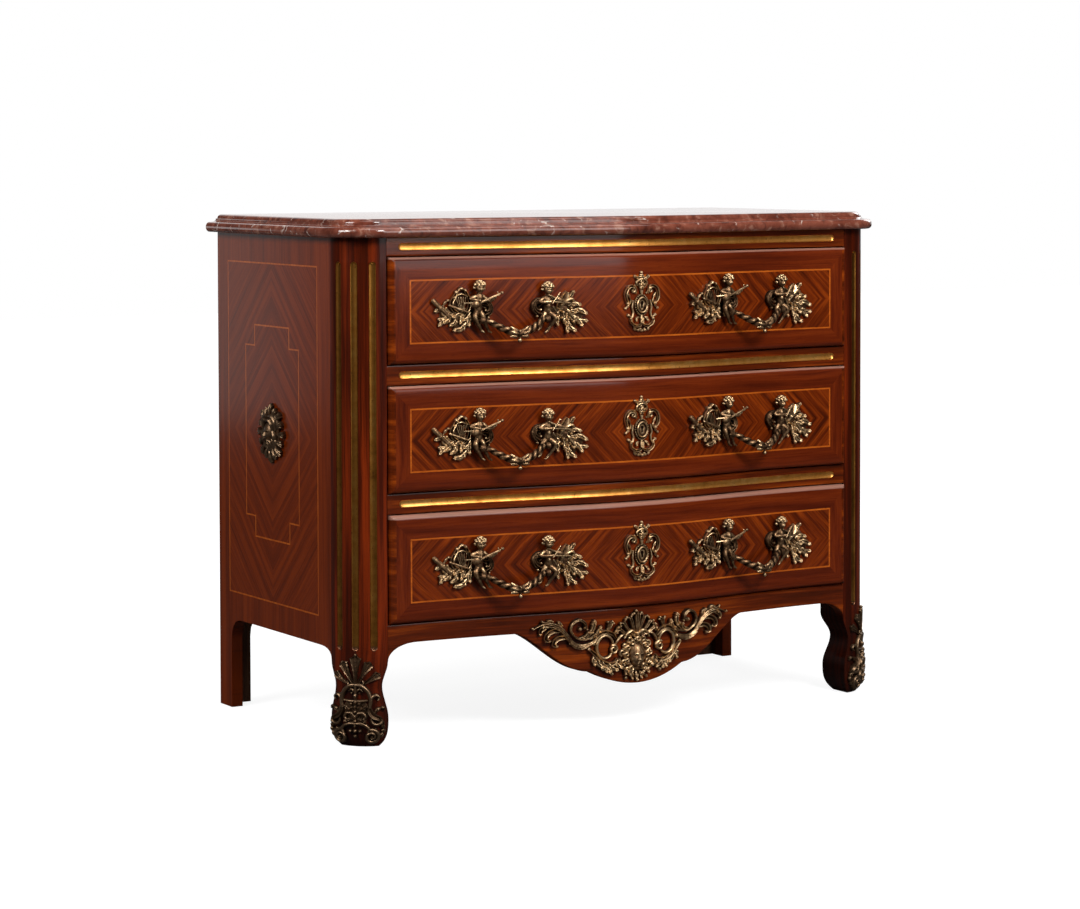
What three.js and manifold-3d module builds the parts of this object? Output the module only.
import * as THREE from "three";
import { mergeVertices } from "three/addons/utils/BufferGeometryUtils.js";
import Module from "manifold-3d";

// A commode chest: bowed front, three drawers with bail handles, brass-lined flutes,
// cast bronze mounts and a moulded marble top.
// Millimetres, +Z up, the front faces -Y. The origin is the centre of the footprint.
// The carcass is drawn with Y = 0 at the front faces of its corner posts.

// Carcass
const bodyWidth = 1042;
const bodyDepth = 494;
const sideThickness = 20;
const bowDepth = 38;
const bowHollow = 4;
const sideArchRise = 19;

// Front corner posts and their feet
const postWidth = 67.5;
const postDepth = 68;
const cornerRadius = 61.5;
const ankleHeight = 98;
const padHeight = 46;
const ankleNarrowing = 11;
const ankleRearNarrowing = 14;
const padNarrowing = 1;
const padRearNarrowing = 5;
const padSwell = 3;
const soleNarrowing = 14;
const soleRearNarrowing = 20;
const soleTuck = 6;
const soleCurve = 3.4;

// Rails, from the marble down, and the openings between them. The apron's top is the lowest floor.
const topRailHeight = 30;
const railHeight = 32;
const openingHeights = { upper: 176, middle: 176, lower: 179 };
const railDepth = 45;

// Apron
const apronThickness = 22;
const apronArchHeight = 164;
const apronHeight = 31;
const apronCornerFall = 28;
const pendantDepth = 97;
const pendantCuspDepth = 71;
const pendantHalfWidth = 225;
const pendantCuspAt = 92;
const pendantCurve = 1.5;
const apronArchWidth = 52;

// Rear feet and back
const rearFootDepth = 47;
const rearFootWidth = 52;
const rearArchRadius = 40;
const frontArchWidth = 40;
const backThickness = 12;

// Boards that carry the drawers
const boardThickness = 12;
const guideWidth = 16;
const guideHeight = 22;

// Marble top
const marbleThickness = 30;
const marbleOverhang = 19.5;
const marbleRearOverhang = 6;
const noseHeight = 14;
const noseRound = 5;
const coveDepth = 14;
const coveHeight = 6;
const filletHeight = 2;
const filletDepth = 3;
const ovoloDepth = 9;

// Brass-lined flutes
const fluteWidth = 12;
const fluteDepth = 4;
const fluteHollow = 2;
const fluteStart = 19;
const fluteTopMargin = 38;
const fluteAngles = [17.1, 45.3, 72.9];
const railFluteMargin = 21.5;

// Drawers
const drawerGap = 2;
const drawerProud = 10;
const drawerRound = 8;
const drawerBackAt = 12;
const boxHeadroom = 26;
const boxRearGap = 42;
const boxBoard = 12;
const boxGap = 4;
const bottomThickness = 6;
const bottomRaise = 8;
const lockWidth = 60;
const lockThickness = 13;
const lockDrop = 8;

// Keyhole and escutcheon
const escutcheonWidth = 66;
const escutcheonHeight = 100;
const escutcheonRise = 4;
const escutcheonThickness = 4;
const escutcheonBossWidth = 28;
const escutcheonBossHeight = 40;
const escutcheonBossDepth = 7;
const keyholeWidth = 3.6;
const keyholeHeight = 13;

// Handles
const handleShift = 6.25;
const handlePlateInner = 37;
const handlePlateOuter = 138;
const handlePlateTop = 32;
const handlePlateBottom = 39;
const handlePlateThickness = 5;
const pivotSpread = 53;
const pivotDrop = 18;
const pivotStandOff = 19;
const pivotBossRadius = 7;
const pivotBossWidth = 9;
const pinRadius = 2.2;
const pinClearance = 0.7;
const bailRadius = 4.6;
const bailDrop = 25;
const bailCurve = 1.6;
const bailForward = 22;
const bailKnobRadius = 4;
const bailKnobShare = 0.5;
const bailEndGap = 1;
const figureAt = 60;
const figureHeadRadius = 8.5;
const figureHeadHeight = 38;
const figureBodyWidth = 20;
const figureBodyHeight = 44;
const figureBodyDepth = 16;

// Other cast mounts
const apronMountHalfWidth = 187;
const apronMountTopMargin = 9;
const apronMountBottomMargin = 3;
const apronMountThickness = 6;
const apronMaskWidth = 32;
const apronMaskHeight = 42;
const apronMaskDepth = 17;
const apronMaskRise = 49;
const apronMountOffset = -6;
const sideMountRadius = 50;
const sideMountInnerRadius = 40;
const sideMountThickness = 6;
const sideMountAt = 280;
const sideMaskWidth = 46;
const sideMaskHeight = 58;
const sideMaskDepth = 15;
const footMountThickness = 4;
const footMountLow = 7;
const footMountRise = 16;

// Clearance between pieces that lie against each other, and overrun of cuts
const seatGap = 0.3;
const runningGap = 0.5;
const overrun = 5;

// Counts of facets
const frontSteps = 20;
const arcSteps = 8;
const mountArcSteps = 5;
const bailSteps = 10;
const rodSides = 6;
const apronSteps = 40;
const apronCornerSteps = 5;
const mountRays = 16;
const noseSteps = 4;
const curveSteps = 2;
const footSteps = 3;
const archSegments = 5;
const slotSegments = 4;
const rodSegments = 3;
const beadSides = 6;
const beadRings = 4;
const maskSides = 12;
const maskRings = 8;
const escutcheonSteps = 16;
const apronMountSteps = 28;

const halfWidth = bodyWidth / 2;
const seam = halfWidth - postWidth;
const handleAt = (seam + escutcheonWidth / 2) / 2 - handleShift;
const railFluteHalfLength = seam - railFluteMargin;
const sideInner = halfWidth - sideThickness;
const returnInner = halfWidth - rearFootWidth;
const rearFootFront = bodyDepth - rearFootDepth;
const backFront = bodyDepth - backThickness;
const boxDepth = backFront - boxRearGap - drawerBackAt;
const springHeight = apronArchHeight - apronCornerFall;
const archHeight = springHeight + sideArchRise;
const pendantHeight = apronArchHeight - pendantDepth;
const pendantCuspHeight = apronArchHeight - pendantCuspDepth;
const apronTop = apronArchHeight + apronHeight;
const openingsHeight = openingHeights.upper + openingHeights.middle + openingHeights.lower;
const carcassHeight = apronTop + openingsHeight + topRailHeight + 2 * railHeight;
const fluteLow = springHeight + fluteStart;
const fluteHigh = carcassHeight - fluteTopMargin;
const apronMountTop = apronTop - apronMountTopMargin;
const apronMountBottom = pendantHeight + apronMountBottomMargin;
const apronMaskAt = pendantHeight + apronMaskRise;
const sideMountHeight = (archHeight + carcassHeight) / 2;
const footMountHigh = springHeight + footMountRise;
const bailKnobDrop = bailRadius + bailKnobShare * bailKnobRadius;

const wasm = await Module();
wasm.setup();

const materials = {
  veneer: new THREE.MeshStandardMaterial({ color: 0x6b2a14, roughness: 0.3, metalness: 0 }),
  carcassWood: new THREE.MeshStandardMaterial({ color: 0x5a3520, roughness: 0.6, metalness: 0 }),
  drawerWood: new THREE.MeshStandardMaterial({ color: 0xa5794a, roughness: 0.7, metalness: 0 }),
  marble: new THREE.MeshStandardMaterial({ color: 0x7a4038, roughness: 0.15, metalness: 0 }),
  brass: new THREE.MeshStandardMaterial({ color: 0xb08a3e, roughness: 0.3, metalness: 1 }),
  bronze: new THREE.MeshStandardMaterial({ color: 0x8a6d42, roughness: 0.4, metalness: 1 }),
  lockSteel: new THREE.MeshStandardMaterial({ color: 0x77736a, roughness: 0.45, metalness: 1 }),
};

// Geometry helpers

// The geometry as one indexed surface with shared corners.
function welded(geometry) {
  const bare = geometry.clone();
  bare.deleteAttribute("normal");
  bare.deleteAttribute("uv");
  return mergeVertices(bare);
}

function solidFrom(geometry) {
  const surface = welded(geometry);
  return new wasm.Manifold(
    new wasm.Mesh({
      numProp: 3,
      vertProperties: new Float32Array(surface.attributes.position.array),
      triVerts: new Uint32Array(surface.index.array),
    }),
  );
}

function geometryFrom(solid) {
  const mesh = solid.getMesh();
  const geometry = new THREE.BufferGeometry();
  geometry.setAttribute("position", new THREE.BufferAttribute(mesh.vertProperties, 3));
  geometry.setIndex(new THREE.BufferAttribute(mesh.triVerts, 1));
  geometry.computeVertexNormals();
  return geometry;
}

function joined(...geometries) {
  return geometryFrom(geometries.map(solidFrom).reduce((sum, solid) => sum.add(solid)));
}

function cut(geometry, ...cutters) {
  const rest = cutters.map(solidFrom).reduce((left, solid) => left.subtract(solid), solidFrom(geometry));
  return geometryFrom(rest);
}

function shared(a, b) {
  return geometryFrom(solidFrom(a).intersect(solidFrom(b)));
}

function block(low, high) {
  const size = new THREE.Vector3().subVectors(high, low);
  const middle = new THREE.Vector3().addVectors(low, high).multiplyScalar(0.5);
  return new THREE.BoxGeometry(size.x, size.y, size.z).translate(middle.x, middle.y, middle.z);
}

function at(x, y, z) {
  return new THREE.Vector3(x, y, z);
}

// Triangles that close a flat ring of points, as triples of their indices.
function capTriangles(ring) {
  const normal = new THREE.Vector3();
  ring.forEach((p, i) => normal.add(new THREE.Vector3().crossVectors(p, ring[(i + 1) % ring.length])));
  const drop = ["x", "y", "z"].reduce((a, b) => (Math.abs(normal[b]) > Math.abs(normal[a]) ? b : a));
  const [u, v] = { x: ["y", "z"], y: ["z", "x"], z: ["x", "y"] }[drop];
  const flat = ring.map((p) => new THREE.Vector2(p[u], p[v]));
  const turn = Math.sign(THREE.ShapeUtils.area(flat));
  return THREE.ShapeUtils.triangulateShape(flat, []).map(([a, b, c]) => {
    const own = Math.sign(THREE.ShapeUtils.area([flat[a], flat[b], flat[c]]));
    return own === turn ? [a, b, c] : [a, c, b];
  });
}

// A closed body through rings of equally many points.
function loft(rings) {
  const count = rings[0].length;
  const positions = rings.flat().flatMap((p) => [p.x, p.y, p.z]);
  const last = (rings.length - 1) * count;
  const faces = [];
  for (let r = 0; r < rings.length - 1; r++)
    for (let i = 0; i < count; i++) {
      const a = r * count + i;
      const b = r * count + ((i + 1) % count);
      faces.push([a, b, b + count], [a, b + count, a + count]);
    }
  capTriangles(rings[0]).forEach(([a, b, c]) => faces.push([a, c, b]));
  capTriangles(rings[rings.length - 1]).forEach(([a, b, c]) => faces.push([last + a, last + b, last + c]));
  const corner = (i) => at(positions[3 * i], positions[3 * i + 1], positions[3 * i + 2]);
  const volume = faces.reduce(
    (sum, [a, b, c]) => sum + corner(a).dot(new THREE.Vector3().crossVectors(corner(b), corner(c))),
    0,
  );
  const facing = volume > 0 ? faces : faces.map(([a, b, c]) => [a, c, b]);
  const geometry = new THREE.BufferGeometry();
  geometry.setAttribute("position", new THREE.Float32BufferAttribute(positions, 3));
  geometry.setIndex(facing.flat());
  geometry.computeVertexNormals();
  return geometry;
}

// A shape drawn in X and Z, extruded along Y from one depth to another.
function uprightPlate(shape, front, back, curveSegments = rodSegments) {
  const options = { depth: back - front, bevelEnabled: false, curveSegments };
  const plate = new THREE.ExtrudeGeometry(shape, options);
  return plate.rotateX(Math.PI / 2).translate(0, back, 0);
}

// A shape with both its halves from the points of its right half, top to bottom.
function mirroredShape(points, steps) {
  const right = new THREE.SplineCurve(points).getPoints(steps);
  const left = right.slice(1, -1).reverse();
  return new THREE.Shape([...right, ...left.map((p) => new THREE.Vector2(-p.x, p.y))]);
}

// A slot with round ends, upright or level, about a centre.
function slotShape(length, width, level) {
  const radius = width / 2;
  const reach = length / 2 - radius;
  const shape = new THREE.Shape();
  if (level) {
    shape.absarc(reach, 0, radius, -Math.PI / 2, Math.PI / 2, false);
    shape.absarc(-reach, 0, radius, Math.PI / 2, (3 * Math.PI) / 2, false);
  } else {
    shape.absarc(0, reach, radius, 0, Math.PI, false);
    shape.absarc(0, -reach, radius, Math.PI, 2 * Math.PI, false);
  }
  return shape;
}

function piece(name, geometry, material, parent) {
  const mesh = new THREE.Mesh(geometry, material);
  mesh.name = name;
  parent.add(mesh);
  return mesh;
}

function levels(low, high, steps) {
  return Array.from({ length: steps + 1 }, (_, i) => low + ((high - low) * i) / steps);
}

// The front line of the rails: Y at a distance X from the middle.
function frontAt(x) {
  const share = Math.min(Math.abs(x) / seam, 1);
  const bow = (bowDepth * (1 + Math.cos(Math.PI * share))) / 2;
  return bowHollow * Math.sin(Math.PI * share) ** 2 - bow;
}

function frontSlopeAt(x) {
  const step = seam / frontSteps;
  return (frontAt(x + step) - frontAt(x - step)) / (2 * step);
}

// A bowed slab in front of the rail line, from one distance forward to another.
function bowedBand(reach, low, high, near, far, steps = frontSteps) {
  return loft(
    levels(-reach, reach, steps).map((x) => [
      at(x, frontAt(x) - far, low),
      at(x, frontAt(x) - far, high),
      at(x, frontAt(x) - near, high),
      at(x, frontAt(x) - near, low),
    ]),
  );
}

// A passage through values at given places, straight unless it is eased.
function between(place, keys, ease = (share) => share) {
  const next = keys.findIndex(([key]) => key >= place);
  if (next <= 0) return next === 0 ? keys[0][1] : keys[keys.length - 1][1];
  const [lowKey, lowValue] = keys[next - 1];
  const [highKey, highValue] = keys[next];
  return lowValue + (highValue - lowValue) * ease((place - lowKey) / (highKey - lowKey));
}

// Marble top

function marbleProfile() {
  const profile = [];
  for (let i = 0; i <= noseSteps; i++) {
    const turn = Math.PI * (i / noseSteps - 1 / 2);
    profile.push([noseRound * (1 - Math.cos(turn)), (noseHeight * (1 + Math.sin(turn))) / 2]);
  }
  const coveTop = noseHeight + coveHeight;
  for (let i = 1; i <= curveSteps; i++) {
    const turn = (Math.PI / 2) * (i / curveSteps);
    profile.push([noseRound + coveDepth * Math.sin(turn), coveTop - coveHeight * Math.cos(turn)]);
  }
  const filletTop = coveTop + filletHeight;
  const filletInset = noseRound + coveDepth + filletDepth;
  profile.push([noseRound + coveDepth, filletTop], [filletInset, filletTop]);
  for (let i = 1; i <= curveSteps; i++) {
    const turn = (Math.PI / 2) * (i / curveSteps);
    const rise = (marbleThickness - filletTop) * Math.sin(turn);
    profile.push([filletInset + ovoloDepth * (1 - Math.cos(turn)), filletTop + rise]);
  }
  return profile;
}

function marbleOutline(overhang, z) {
  const rear = bodyDepth + marbleRearOverhang;
  const reach = halfWidth + overhang;
  const centre = halfWidth - cornerRadius;
  const radius = cornerRadius + overhang;
  const ring = [at(reach, rear, z), at(-reach, rear, z)];
  for (let i = 0; i <= arcSteps; i++) {
    const turn = Math.PI + (Math.PI / 2) * (i / arcSteps);
    ring.push(at(-centre + radius * Math.cos(turn), cornerRadius + radius * Math.sin(turn), z));
  }
  levels(-seam, seam, frontSteps).forEach((x) => ring.push(at(x, frontAt(x) - overhang, z)));
  for (let i = 0; i <= arcSteps; i++) {
    const turn = 1.5 * Math.PI + (Math.PI / 2) * (i / arcSteps);
    ring.push(at(centre + radius * Math.cos(turn), cornerRadius + radius * Math.sin(turn), z));
  }
  return ring;
}

function marbleTop() {
  const rings = marbleProfile().map(([inset, rise]) => marbleOutline(marbleOverhang - inset, carcassHeight + rise));
  return loft(rings);
}

// Corner posts

// How much a foot narrows at given heights, against the post above it.
const postKeys = {
  inner: [
    [0, soleNarrowing],
    [padHeight, padNarrowing],
    [ankleHeight, ankleNarrowing],
    [springHeight, 0],
  ],
  rear: [
    [0, soleRearNarrowing],
    [padHeight, padRearNarrowing],
    [ankleHeight, ankleRearNarrowing],
    [springHeight, 0],
  ],
  outer: [
    [0, soleTuck],
    [padHeight, -padSwell],
    [ankleHeight, 0],
    [springHeight, 0],
  ],
};

// A smooth passage between the heights, rounded in under the sole.
function narrowingAt(z, keys) {
  if (z < padHeight) return keys[1][1] + (keys[0][1] - keys[1][1]) * (1 - z / padHeight) ** soleCurve;
  return between(z, keys, (share) => (1 - Math.cos(Math.PI * share)) / 2);
}

// The outer surface of a post at a height: a quarter round about its centre, moved by the foot's swell.
function postArcPoint(z, angle, outward = 0) {
  const radius = cornerRadius - narrowingAt(z, postKeys.outer) + outward;
  const centre = halfWidth - cornerRadius;
  return at(centre + radius * Math.sin(angle), cornerRadius - radius * Math.cos(angle), z);
}

// A level section of a post. Where the foot is narrower than the quarter round, its inner
// and rear faces cut the round short.
function postRing(z, outward = 0) {
  const inner = seam + narrowingAt(z, postKeys.inner);
  const rear = postDepth - narrowingAt(z, postKeys.rear);
  const radius = cornerRadius - narrowingAt(z, postKeys.outer) + outward;
  const innerPast = inner - (halfWidth - cornerRadius);
  const rearPast = cornerRadius - rear;
  const from = innerPast > 0 ? Math.asin(innerPast / radius) : 0;
  const to = rearPast > 0 ? Math.acos(rearPast / radius) : Math.PI / 2;
  const trim = (to - from) / (2 * arcSteps);
  const arc = levels(innerPast > 0 ? from + trim : 0, rearPast > 0 ? to - trim : to, arcSteps);
  const ring = arc.map((angle) => postArcPoint(z, angle, outward));
  const frontCorner = at(inner, cornerRadius - radius * Math.cos(from), z);
  const sideCorner = at(halfWidth - cornerRadius + radius * Math.sin(to), rear, z);
  return [frontCorner, ...ring, sideCorner, at(inner, rear, z)];
}

function postHeights() {
  const footKeys = [0, padHeight / 2, padHeight, ankleHeight, springHeight];
  const foot = footKeys.slice(1).flatMap((high, i) => levels(footKeys[i], high, footSteps).slice(1));
  return [0, ...foot, carcassHeight];
}

// The frame of a flute on the post: across, up and outward.
function fluteFrame(side, angle, distance) {
  const outward = at(side * Math.sin(angle), -Math.cos(angle), 0);
  const across = at(Math.cos(angle), side * Math.sin(angle), 0);
  const centre = at(side * (halfWidth - cornerRadius), cornerRadius, (fluteLow + fluteHigh) / 2);
  const frame = new THREE.Matrix4().makeBasis(across, at(0, 0, 1), outward);
  return frame.setPosition(centre.addScaledVector(outward, distance));
}

function fluteGroove(side, angle) {
  const shape = slotShape(fluteHigh - fluteLow, fluteWidth, false);
  const options = { depth: fluteDepth + overrun, bevelEnabled: false, curveSegments: slotSegments };
  const groove = new THREE.ExtrudeGeometry(shape, options);
  return groove.applyMatrix4(fluteFrame(side, angle, cornerRadius - fluteDepth));
}

function fluteLining() {
  const clear = 2 * seatGap;
  const shape = slotShape(fluteHigh - fluteLow - clear, fluteWidth - clear, false);
  const depth = fluteDepth - fluteHollow - seatGap;
  return new THREE.ExtrudeGeometry(shape, { depth, bevelEnabled: false, curveSegments: slotSegments });
}

function mirroredInX(ring, side) {
  return ring.map((p) => at(side * p.x, p.y, p.z));
}

function cornerPost(side) {
  const body = loft(postHeights().map((z) => mirroredInX(postRing(z), side)));
  const grooves = fluteAngles.map((degrees) => fluteGroove(side, THREE.MathUtils.degToRad(degrees)));
  return cut(body, ...grooves);
}

// Rails and apron

function rail(low, high) {
  const body = loft(
    levels(-seam, seam, frontSteps).map((x) => [
      at(x, frontAt(x), low),
      at(x, frontAt(x), high),
      at(x, railDepth, high),
      at(x, railDepth, low),
    ]),
  );
  return cut(body, railFlute(low, high, fluteWidth, -fluteDepth, overrun, 0));
}

// The flute of a rail, or its lining, between two distances in front of the rail.
function railFlute(low, high, width, near, far, clear) {
  const shape = slotShape(2 * (railFluteHalfLength - clear), width, true);
  const middle = (low + high) / 2;
  const slab = uprightPlate(shape, -bowDepth - fluteWidth, fluteWidth, slotSegments).translate(0, 0, middle);
  return shared(slab, bowedBand(seam, low, high, near, far));
}

function railLining(low, high) {
  return railFlute(low, high, fluteWidth - 2 * seatGap, seatGap - fluteDepth, -fluteHollow, seatGap);
}

// The lower edge of the apron: a flat arch beside each post and a pendant with two cusps.
function apronEdgeAt(x) {
  const distance = Math.abs(x);
  const archStart = seam - apronArchWidth;
  if (distance > archStart) {
    const share = Math.min((distance - archStart) / apronArchWidth, 1);
    return apronArchHeight - (apronArchHeight - springHeight) * (1 - Math.sqrt(1 - share ** 2));
  }
  if (distance > pendantHalfWidth) return apronArchHeight;
  if (distance > pendantCuspAt) {
    const share = (pendantHalfWidth - distance) / (pendantHalfWidth - pendantCuspAt);
    const fall = Math.sin((Math.PI / 2) * share) ** pendantCurve;
    return apronArchHeight - (apronArchHeight - pendantCuspHeight) * fall;
  }
  return pendantHeight + (pendantCuspHeight - pendantHeight) * (distance / pendantCuspAt) ** 2;
}

// Places along the apron, closer together in the round corners of its arches.
function apronStations() {
  const reach = seam - apronArchWidth;
  const turns = levels(0, Math.PI / 2, apronCornerSteps).slice(1);
  const corner = turns.map((turn) => reach + apronArchWidth * Math.sin(turn));
  const middle = levels(-seam, seam, apronSteps).filter((x) => Math.abs(x) < reach);
  return [...corner.map((x) => -x).reverse(), -reach, ...middle, reach, ...corner];
}

function apron(top) {
  return loft(
    apronStations().map((x) => [
      at(x, frontAt(x), apronEdgeAt(x)),
      at(x, frontAt(x), top),
      at(x, frontAt(x) + apronThickness, top),
      at(x, frontAt(x) + apronThickness, apronEdgeAt(x)),
    ]),
  );
}

// Sides and back

function sidePanel(side) {
  const shape = new THREE.Shape();
  shape.moveTo(postDepth, carcassHeight);
  shape.lineTo(postDepth, springHeight);
  shape.quadraticCurveTo(postDepth, archHeight, postDepth + frontArchWidth, archHeight);
  shape.lineTo(rearFootFront - rearArchRadius, archHeight);
  shape.quadraticCurveTo(rearFootFront, archHeight, rearFootFront, archHeight - rearArchRadius);
  shape.lineTo(rearFootFront, 0);
  shape.lineTo(bodyDepth, 0);
  shape.lineTo(bodyDepth, carcassHeight);
  const options = { depth: sideThickness, bevelEnabled: false, curveSegments: archSegments };
  const slab = new THREE.ExtrudeGeometry(shape, options);
  slab.rotateX(Math.PI / 2).rotateZ(Math.PI / 2);
  return slab.translate(side > 0 ? sideInner : -halfWidth, 0, 0);
}

// The back board ends in two narrow feet, the returns of the side panels' rear feet.
function backPanel() {
  const shape = new THREE.Shape();
  shape.moveTo(-sideInner, 0);
  shape.lineTo(-returnInner, 0);
  shape.lineTo(-returnInner, archHeight - rearArchRadius);
  shape.quadraticCurveTo(-returnInner, archHeight, rearArchRadius - returnInner, archHeight);
  shape.lineTo(returnInner - rearArchRadius, archHeight);
  shape.quadraticCurveTo(returnInner, archHeight, returnInner, archHeight - rearArchRadius);
  shape.lineTo(returnInner, 0);
  shape.lineTo(sideInner, 0);
  shape.lineTo(sideInner, carcassHeight);
  shape.lineTo(-sideInner, carcassHeight);
  return uprightPlate(shape, backFront, bodyDepth, archSegments);
}

// Boards between the drawers. The front edge follows the piece that the board meets.
function drawerBoard(top, frontEdge) {
  const shape = new THREE.Shape(frontEdge);
  shape.lineTo(seam, postDepth);
  shape.lineTo(sideInner, postDepth);
  shape.lineTo(sideInner, backFront);
  shape.lineTo(-sideInner, backFront);
  shape.lineTo(-sideInner, postDepth);
  shape.lineTo(-seam, postDepth);
  const board = new THREE.ExtrudeGeometry(shape, { depth: boardThickness, bevelEnabled: false });
  board.translate(0, 0, top - boardThickness);
  const guides = [1, -1].map((side) => {
    const near = seam - boxGap + runningGap;
    const [low, high] = side > 0 ? [near, near + guideWidth] : [-near - guideWidth, -near];
    const start = postDepth + seatGap;
    return block(at(low, start, top - boardThickness / 2), at(high, rearFootFront, top + guideHeight));
  });
  return joined(board, ...guides);
}

function straightEdge() {
  return [new THREE.Vector2(-seam, railDepth), new THREE.Vector2(seam, railDepth)];
}

function apronBackEdge() {
  const line = levels(-seam, seam, frontSteps);
  return line.map((x) => new THREE.Vector2(x, frontAt(x) + apronThickness + seatGap));
}

// Drawers, each drawn with Z = 0 at the floor of its opening

// How far the rounded edge has fallen back at a distance from the edge.
function edgeFall(distance) {
  const inside = Math.max(drawerRound - distance, 0);
  return drawerRound - Math.sqrt(drawerRound ** 2 - inside ** 2);
}

function drawerFront(opening) {
  const reach = seam - drawerGap;
  const low = drawerGap;
  const high = opening - drawerGap;
  const roundSteps = [0, 1 / 4, 1];
  const field = levels(-reach + drawerRound, reach - drawerRound, frontSteps);
  const edge = roundSteps.slice(0, -1).map((share) => share * drawerRound - reach);
  const columns = [...edge, ...field, ...edge.map((x) => -x).reverse()];
  const body = loft(
    columns.map((x) => {
      const sideFall = edgeFall(reach - Math.abs(x));
      const faceAt = (distance) => frontAt(x) - drawerProud + Math.max(sideFall, edgeFall(distance));
      const rising = roundSteps.map((share) => share * drawerRound);
      return [
        at(x, drawerBackAt, low),
        ...rising.map((distance) => at(x, faceAt(distance), low + distance)),
        ...[...rising].reverse().map((distance) => at(x, faceAt(distance), high - distance)),
        at(x, drawerBackAt, high),
      ];
    }),
  );
  const keyholeShape = slotShape(keyholeHeight, keyholeWidth, false);
  const keyway = uprightPlate(keyholeShape, -bowDepth * 2, drawerBackAt + overrun);
  return cut(body, keyway.translate(0, 0, opening / 2));
}

function drawerBox(opening) {
  const reach = seam - boxGap;
  const boxHeight = opening - boxHeadroom;
  const rear = drawerBackAt + boxDepth;
  const outer = block(at(-reach, drawerBackAt, runningGap), at(reach, rear, boxHeight));
  const inner = reach - boxBoard;
  const low = at(-inner, drawerBackAt - overrun, runningGap - overrun);
  return cut(outer, block(low, at(inner, rear - boxBoard, boxHeight + overrun)));
}

function drawerBottom() {
  const inner = seam - boxGap - boxBoard;
  const rear = drawerBackAt + boxDepth - boxBoard;
  return block(at(-inner, drawerBackAt, bottomRaise), at(inner, rear, bottomRaise + bottomThickness));
}

function drawerLock(opening) {
  const low = opening / 2 - keyholeHeight;
  const high = opening - drawerGap - lockDrop;
  return block(at(-lockWidth / 2, drawerBackAt, low), at(lockWidth / 2, drawerBackAt + lockThickness, high));
}

// A flat outline laid on the bowed drawer face, between two distances in front of it.
function onDrawerFace(shape, place, near, far, curveSegments = 1) {
  const slab = uprightPlate(shape, -bowDepth * 3, bowDepth * 3, curveSegments).applyMatrix4(place);
  const band = bowedBand(seam, 0, openingHeights.lower, drawerProud + near, drawerProud + far);
  return shared(slab, band);
}

const escutcheonShares = [
  [0, 1],
  [0.45, 0.9],
  [0.3, 0.62],
  [0.85, 0.58],
  [1, 0.2],
  [0.8, -0.05],
  [0.98, -0.3],
  [0.62, -0.5],
  [0.7, -0.72],
  [0.3, -0.97],
  [0, -1],
];

function sharesToPoints(shares, across, up) {
  return shares.map(([u, v]) => new THREE.Vector2(u * across, v * up));
}

function escutcheon(opening) {
  const keyholePlace = new THREE.Matrix4().makeTranslation(0, 0, opening / 2);
  const place = new THREE.Matrix4().makeTranslation(0, 0, opening / 2 + escutcheonRise);
  const points = sharesToPoints(escutcheonShares, escutcheonWidth / 2, escutcheonHeight / 2);
  const outline = mirroredShape(points, escutcheonSteps);
  const bossOutline = new THREE.Shape();
  bossOutline.absellipse(0, 0, escutcheonBossWidth / 2, escutcheonBossHeight / 2, 0, 2 * Math.PI, false, 0);
  const plate = onDrawerFace(outline, place, seatGap, seatGap + escutcheonThickness, rodSegments);
  const boss = onDrawerFace(bossOutline, keyholePlace, seatGap, seatGap + escutcheonBossDepth, archSegments);
  const keyhole = uprightPlate(slotShape(keyholeHeight, keyholeWidth, false), -bowDepth * 3, bowDepth);
  return cut(joined(plate, boss), keyhole.applyMatrix4(keyholePlace));
}

// The outline of a handle plate as shares of its reach from the pivot side and of its heights:
// foliage that fans outward from the figure.
const handlePlateShares = [
  [0, 0.1],
  [0.12, 0.55],
  [0.2, 0.95],
  [0.34, 0.9],
  [0.47, 1],
  [0.64, 0.88],
  [0.82, 0.35],
  [1, -0.15],
  [0.97, -0.5],
  [0.9, -0.85],
  [0.72, -1],
  [0.58, -0.7],
  [0.44, -0.62],
  [0.34, -0.95],
  [0.2, -0.55],
  [0.06, -0.3],
];

function handlePlateShape(side) {
  const span = handlePlateOuter - handlePlateInner;
  const points = handlePlateShares.map(([u, v]) => {
    const height = v > 0 ? v * handlePlateTop : v * handlePlateBottom;
    return new THREE.Vector2(side * (handlePlateInner + u * span), height);
  });
  return new THREE.Shape(side > 0 ? points.reverse() : points);
}

// Where a handle stands on the drawer: the middle of its two plates, square to the bowed face.
function handleFrame(side, opening) {
  const place = new THREE.Group();
  place.position.set(side * handleAt, frontAt(handleAt) - drawerProud, opening / 2);
  place.rotation.z = Math.atan(frontSlopeAt(side * handleAt));
  place.updateMatrix();
  return place;
}

function pivotAxisRod(radius, from, to) {
  const rod = new THREE.CylinderGeometry(radius, radius, Math.abs(to - from), rodSides).rotateZ(Math.PI / 2);
  return rod.translate((from + to) / 2, -pivotStandOff, -pivotDrop);
}

function figure(side) {
  const base = seatGap + handlePlateThickness;
  const body = new THREE.SphereGeometry(1, beadSides, beadRings);
  body.scale(figureBodyWidth / 2, figureBodyDepth / 2, figureBodyHeight / 2);
  body.translate(side * figureAt, -base, figureHeadHeight - figureBodyHeight / 2);
  const head = new THREE.SphereGeometry(figureHeadRadius, beadSides, beadRings);
  head.translate(side * figureAt, -base - figureHeadRadius / 2, figureHeadHeight);
  return joined(body, head);
}

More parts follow.
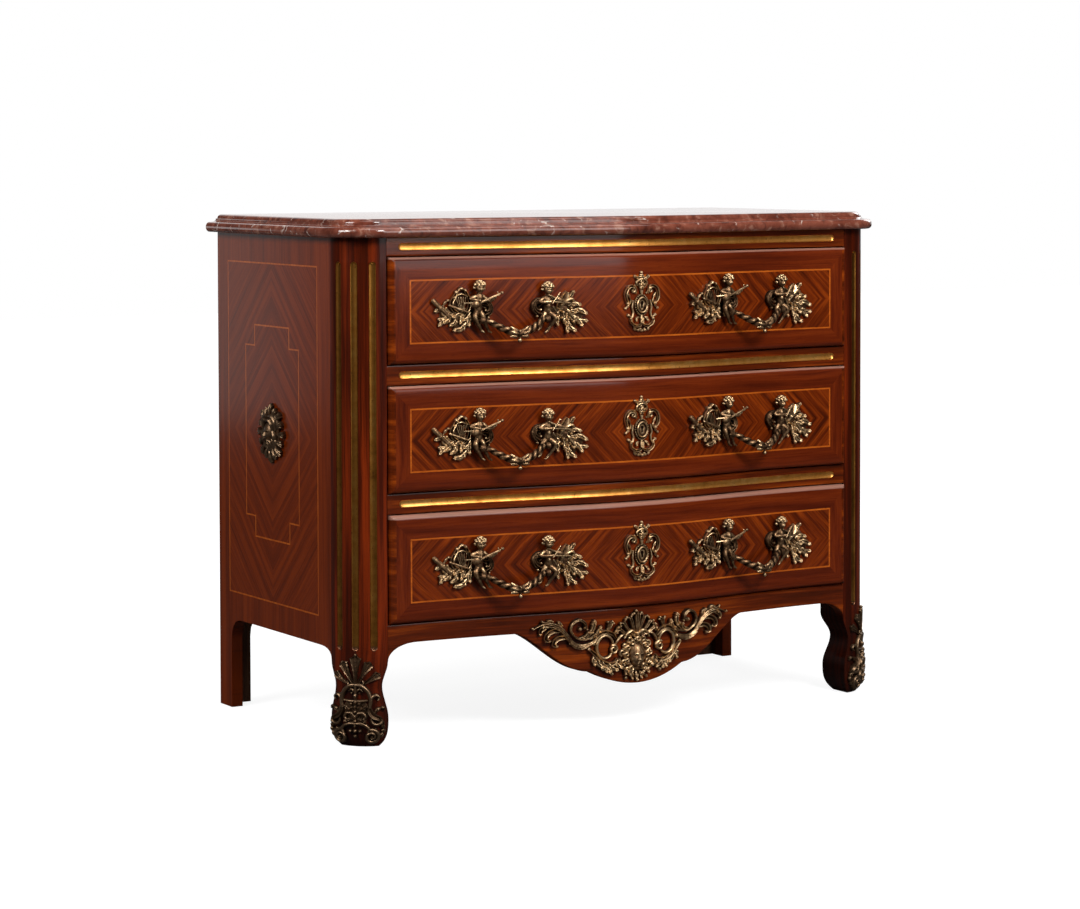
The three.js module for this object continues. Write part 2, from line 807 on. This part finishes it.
function handlePlate(side, place) {
  const back = new THREE.Matrix4().copy(place.matrix).invert();
  const reach = pivotStandOff + pivotBossRadius;
  const plate = onDrawerFace(handlePlateShape(side), place.matrix, seatGap, seatGap + handlePlateThickness);
  const low = side * (pivotSpread + bailEndGap);
  const high = low + side * pivotBossWidth;
  const bossOutline = new THREE.Shape([
    new THREE.Vector2(Math.min(low, high), -pivotDrop - pivotBossRadius),
    new THREE.Vector2(Math.max(low, high), -pivotDrop - pivotBossRadius),
    new THREE.Vector2(Math.max(low, high), -pivotDrop + pivotBossRadius),
    new THREE.Vector2(Math.min(low, high), -pivotDrop + pivotBossRadius),
  ]);
  const boss = onDrawerFace(bossOutline, place.matrix, seatGap, reach);
  const skinAll = bowedBand(seam, 0, openingHeights.lower, drawerProud + seatGap, bowDepth * 3);
  const carving = shared(figure(side).applyMatrix4(place.matrix), skinAll);
  const body = joined(plate, boss, carving).applyMatrix4(back);
  const bore = pivotAxisRod(pinRadius + pinClearance, low - side * overrun, high + side * overrun);
  return cut(body, bore);
}

// A bail hangs from its two pins and swings outward.
function bail() {
  const end = pivotSpread - bailRadius;
  const path = new THREE.CatmullRomCurve3(
    levels(-1, 1, bailSteps).map((share) => {
      const sag = 1 - Math.abs(share) ** bailCurve;
      return at(share * end, -pivotStandOff - sag * bailForward, -pivotDrop - sag * bailDrop);
    }),
  );
  const section = new THREE.Shape();
  section.absarc(0, 0, bailRadius, 0, 2 * Math.PI, false);
  const options = { steps: bailSteps, extrudePath: path, curveSegments: rodSegments };
  const swag = new THREE.ExtrudeGeometry(section, options);
  const knob = new THREE.SphereGeometry(bailKnobRadius, beadSides, beadRings);
  knob.translate(0, -pivotStandOff - bailForward, -pivotDrop - bailDrop - bailKnobDrop);
  const pinStart = end - bailRadius;
  const pinEnd = pivotSpread + bailEndGap + pivotBossWidth;
  const pins = [1, -1].map((side) => pivotAxisRod(pinRadius, side * pinStart, side * pinEnd));
  const knuckles = [1, -1].map((side) => pivotAxisRod(bailRadius, side * pinStart, side * pivotSpread));
  return joined(swag, knob, ...pins, ...knuckles);
}

function drawer(name, opening) {
  const group = new THREE.Group();
  piece(name + "_drawer_front", drawerFront(opening), materials.veneer, group);
  piece(name + "_drawer_box", drawerBox(opening), materials.drawerWood, group);
  piece(name + "_drawer_bottom", drawerBottom(), materials.drawerWood, group);
  piece(name + "_drawer_lock", drawerLock(opening), materials.lockSteel, group);
  piece(name + "_escutcheon", escutcheon(opening), materials.bronze, group);
  [-1, 1].forEach((side) => {
    const label = name + (side < 0 ? "_left" : "_right");
    const handle = handleFrame(side, opening);
    piece(label + "_handle_left_plate", handlePlate(-1, handle), materials.bronze, handle);
    piece(label + "_handle_right_plate", handlePlate(1, handle), materials.bronze, handle);
    piece(label + "_bail", bail(), materials.bronze, handle);
    group.add(handle);
  });
  return group;
}

// Cast mounts on the carcass

const apronMountShares = [
  [0, 1],
  [0.12, 0.9],
  [0.2, 0.72],
  [0.33, 0.84],
  [0.55, 0.92],
  [0.76, 0.97],
  [1, 0.97],
  [0.8, 0.78],
  [0.66, 0.55],
  [0.46, 0.38],
  [0.4, 0.22],
  [0.28, 0.1],
  [0.16, 0.16],
  [0.08, 0],
  [0, 0],
];

function apronMount(top) {
  const height = apronMountTop - apronMountBottom;
  const points = sharesToPoints(apronMountShares, apronMountHalfWidth, height);
  const outline = mirroredShape(points, apronMountSteps);
  const slab = uprightPlate(outline, -bowDepth * 2, bowDepth);
  slab.translate(apronMountOffset, 0, apronMountBottom);
  const plate = shared(slab, bowedBand(seam, 0, top, seatGap, seatGap + apronMountThickness, apronSteps));
  const mask = new THREE.SphereGeometry(1, maskSides, maskRings);
  mask.scale(apronMaskWidth / 2, apronMaskDepth, apronMaskHeight / 2);
  mask.translate(apronMountOffset, frontAt(0) - seatGap, apronMaskAt);
  return joined(plate, shared(mask, bowedBand(seam, 0, top, seatGap, apronMaskDepth * 2, apronSteps)));
}

function sideMount(side) {
  const rays = new THREE.Shape(
    Array.from({ length: 2 * mountRays }, (_, i) => {
      const radius = i % 2 ? sideMountInnerRadius : sideMountRadius;
      const turn = (Math.PI * i) / mountRays;
      return new THREE.Vector2(radius * Math.cos(turn), radius * Math.sin(turn));
    }),
  );
  const disc = new THREE.ExtrudeGeometry(rays, { depth: sideMountThickness, bevelEnabled: false });
  const mask = new THREE.SphereGeometry(1, maskSides, maskRings);
  mask.scale(sideMaskWidth / 2, sideMaskHeight / 2, sideMaskDepth);
  const reach = sideMountRadius;
  const front = block(at(-reach, -reach, 0), at(reach, reach, sideMaskDepth + overrun));
  const cast = joined(disc, shared(mask, front));
  cast.rotateX(Math.PI / 2).rotateZ((side * Math.PI) / 2);
  return cast.translate(side * (halfWidth + seatGap), sideMountAt, sideMountHeight);
}

// Half the angle that a foot mount covers at shares of its height:
// scrolls at the foot, a narrow waist and a fan of leaves.
const footMountShares = [
  [0, 0.6],
  [0.06, 0.84],
  [0.2, 0.84],
  [0.36, 0.74],
  [0.5, 0.56],
  [0.6, 0.4],
  [0.66, 0.55],
  [0.76, 0.8],
  [0.86, 0.6],
  [0.94, 0.3],
  [1, 0.1],
];

function footMount(side) {
  const span = footMountHigh - footMountLow;
  const heights = [...postHeights().filter((z) => z > footMountLow && z < footMountHigh), footMountHigh];
  const rings = heights.map((z) => {
    const reach = (Math.PI / 4) * between((z - footMountLow) / span, footMountShares);
    const angles = levels(Math.PI / 4 - reach, Math.PI / 4 + reach, mountArcSteps);
    const outer = angles.map((angle) => postArcPoint(z, angle, seatGap + footMountThickness));
    const inner = angles.map((angle) => postArcPoint(z, angle, -footMountThickness));
    return mirroredInX([...outer, ...inner.reverse()], side);
  });
  const clearPost = loft(postHeights().map((z) => mirroredInX(postRing(z, seatGap), side)));
  return cut(loft(rings), clearPost);
}

// Assembly

const commode = new THREE.Group();
const carcass = new THREE.Group();
commode.add(carcass);

piece("marble_top", marbleTop(), materials.marble, carcass);
piece("back_panel", backPanel(), materials.carcassWood, carcass);

[-1, 1].forEach((side) => {
  const label = side < 0 ? "left" : "right";
  piece(label + "_side_panel", sidePanel(side), materials.veneer, carcass);
  piece("front_" + label + "_post", cornerPost(side), materials.veneer, carcass);
  piece(label + "_foot_mount", footMount(side), materials.bronze, carcass);
  piece(label + "_side_mount", sideMount(side), materials.bronze, carcass);
  fluteAngles.forEach((degrees, i) => {
    const angle = THREE.MathUtils.degToRad(degrees);
    const lining = piece(label + "_post_flute_" + (i + 1), fluteLining(), materials.brass, carcass);
    lining.applyMatrix4(fluteFrame(side, angle, cornerRadius - fluteDepth + seatGap));
  });
});

const names = ["upper", "middle", "lower"];
let level = carcassHeight;
[topRailHeight, railHeight, railHeight].forEach((height, i) => {
  const railName = ["top", "upper", "lower"][i];
  const low = level - height;
  piece(railName + "_rail", rail(low, level), materials.veneer, carcass);
  piece(railName + "_rail_flute", railLining(low, level), materials.brass, carcass);
  if (i > 0) {
    const board = drawerBoard(level, straightEdge());
    piece(railName + "_dust_board", board, materials.carcassWood, carcass);
  }
  const opening = openingHeights[names[i]];
  const unit = drawer(names[i], opening);
  unit.position.z = low - opening;
  carcass.add(unit);
  level = low - opening;
});

piece("bottom_board", drawerBoard(level, apronBackEdge()), materials.carcassWood, carcass);
piece("apron", apron(level), materials.veneer, carcass);
piece("apron_mount", apronMount(level), materials.bronze, carcass);

// The footprint's centre is the origin.
commode.updateMatrixWorld(true);
const reach = new THREE.Box3().setFromObject(commode, true);
carcass.position.set(0, -(reach.min.y + reach.max.y) / 2, 0);

export default commode;
